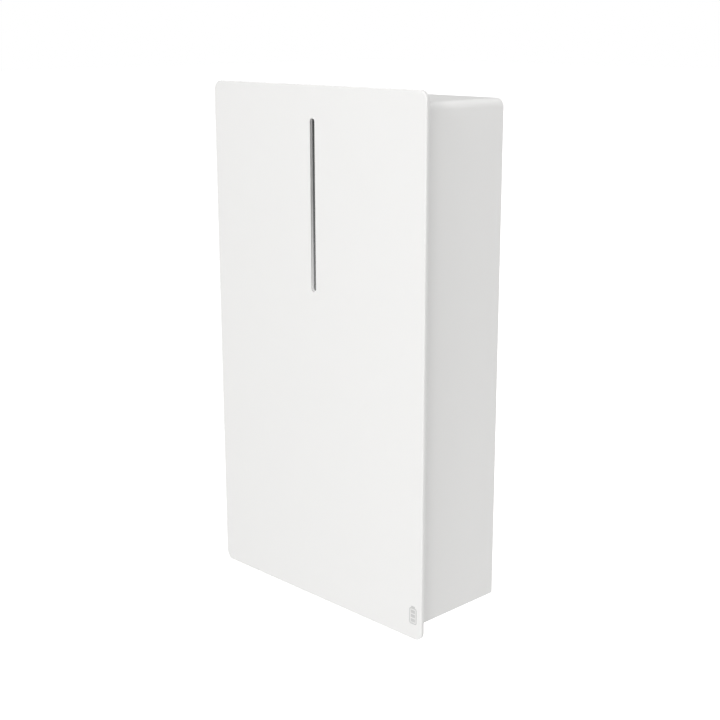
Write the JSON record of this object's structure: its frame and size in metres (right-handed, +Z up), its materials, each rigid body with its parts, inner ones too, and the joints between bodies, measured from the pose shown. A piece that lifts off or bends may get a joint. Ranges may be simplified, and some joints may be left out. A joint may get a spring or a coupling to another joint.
{
  "type": "wall battery unit",
  "caption": "Wall-hung home battery: thin front plate with a vertical light slot over a plain box body, with battery modules, electronics and cable glands below.",
  "frame": {"origin": "centre of the wall bracket's four bolt holes, on the wall's face", "axes": "+X to the right seen from the room, +Y into the wall, +Z up; the front plate faces -Y"},
  "size_m": [0.56, 0.2268, 0.987],
  "materials": {
    "white_enamel": "fine satin powder coat",
    "case_enamel": "light grey powder coat",
    "white_board": "moulded, matt",
    "badge_grey": "printed film, satin",
    "magnet_nickel": "nickel plated",
    "pin_steel": "turned",
    "zinc_steel": "zinc plated",
    "black_nylon": "moulded, fine texture",
    "grey_foam": "closed-cell foam",
    "black_rubber": "moulded",
    "smoked_lens": "smoked, satin",
    "opal_guide": "opal",
    "circuit_green": "solder resist",
    "led_yellow": "phosphor lens",
    "cell_blue": "film-wrapped aluminium can",
    "frame_aluminium": "mill finish",
    "copper": "bright copper",
    "lid_orange": "moulded",
    "black_epoxy": "moulded",
    "ferrite_winding": "enamelled wire over a ferrite core",
    "capacitor_sleeve": "shrink sleeve",
    "fuse_ceramic": "glazed body, plated caps",
    "shunt_brass": "machined",
    "grey_plastic": "moulded",
    "beige_plastic": "moulded",
    "cable_orange": "extruded",
    "harness_black": "taped bundle",
    "grey_nylon": "moulded",
    "knob_red": "moulded",
    "dial_yellow": "moulded",
    "button_black": "moulded"
  },
  "bodies": {
    "cabinet": {"hood": "white_enamel", "enclosure": "case_enamel", "threaded_inserts": "zinc_steel", "case_screws": "zinc_steel", "wall_bracket": "zinc_steel", "hanging_hooks": "zinc_steel", "wall_buffers": "black_rubber", "battery_cells": "cell_blue", "module_frames": "frame_aluminium", "copper_bars": "copper", "module_lids": "lid_orange", "module_shelves": "zinc_steel", "small_boards": "circuit_green", "equipment_plate": "zinc_steel", "heatsink": "frame_aluminium", "power_transistors": "black_epoxy", "power_board": "circuit_green", "power_inductors": "ferrite_winding", "power_capacitors": "capacitor_sleeve", "fan_frame": "black_nylon", "bms_board": "circuit_green", "bms_components": "black_epoxy", "contactors": "black_epoxy", "fuse_holder": "black_epoxy", "main_fuse": "fuse_ceramic", "current_shunt": "shunt_brass", "dc_breaker": "grey_plastic", "terminal_blocks": "beige_plastic", "power_cables": "cable_orange", "monitor_harness": "harness_black", "gland_plate": "frame_aluminium", "gland_plate_seal": "black_rubber", "isolator_body": "black_nylon", "isolator_dial": "dial_yellow", "button_housing": "pin_steel", "comm_ports": "black_nylon", "gland_bodies": "grey_nylon", "gland_nuts": "grey_nylon", "gland_sleeves": "black_rubber", "earth_terminal": "shunt_brass", "vent_plug": "grey_nylon"},
    "service_cover": {"service_cover": "case_enamel", "cover_gasket": "grey_foam", "cover_screws": "zinc_steel", "pin_sockets": "black_nylon", "magnet_keepers": "zinc_steel", "light_housing": "white_board", "light_lens": "smoked_lens", "light_guide": "opal_guide", "led_board": "circuit_green", "status_leds": "led_yellow"},
    "front_plate": {"front_plate": "white_enamel", "plate_stiffener": "white_board", "plate_pins": "pin_steel", "plate_magnets": "magnet_nickel", "plate_badge": "badge_grey"},
    "isolator_knob": {"isolator_knob": "knob_red"},
    "power_button": {"power_button": "button_black"},
    "breaker_lever": {"breaker_lever": "black_nylon"},
    "fan_rotor": {"fan_rotor": "black_nylon"}
  },
  "joints": [
    {"name": "cover_removal", "type": "slide", "parent": "cabinet", "child": "service_cover", "axis": [0, -1, 0], "range_m": [0, 0.25]},
    {"name": "plate_removal", "type": "slide", "parent": "service_cover", "child": "front_plate", "axis": [0, -1, 0], "range_m": [0, 0.15]},
    {"name": "isolator_turn", "type": "hinge", "parent": "cabinet", "child": "isolator_knob", "pos_m": [-0.15, -0.105, -0.618], "axis": [0, 0, -1], "range_deg": [0, 90]},
    {"name": "button_press", "type": "slide", "parent": "cabinet", "child": "power_button", "axis": [0, 0, 1], "range_m": [0, 0.002], "stiffness_N_per_m": 600, "springref_m": -0.002},
    {"name": "breaker_toggle", "type": "hinge", "parent": "cabinet", "child": "breaker_lever", "pos_m": [0.112, -0.08, -0.472], "axis": [1, 0, 0], "range_deg": [0, 50]},
    {"name": "fan_spin", "type": "hinge", "parent": "cabinet", "child": "fan_rotor", "pos_m": [-0.15, -0.0595, -0.35], "axis": [0, 0, 1], "continuous": true}
  ]
}
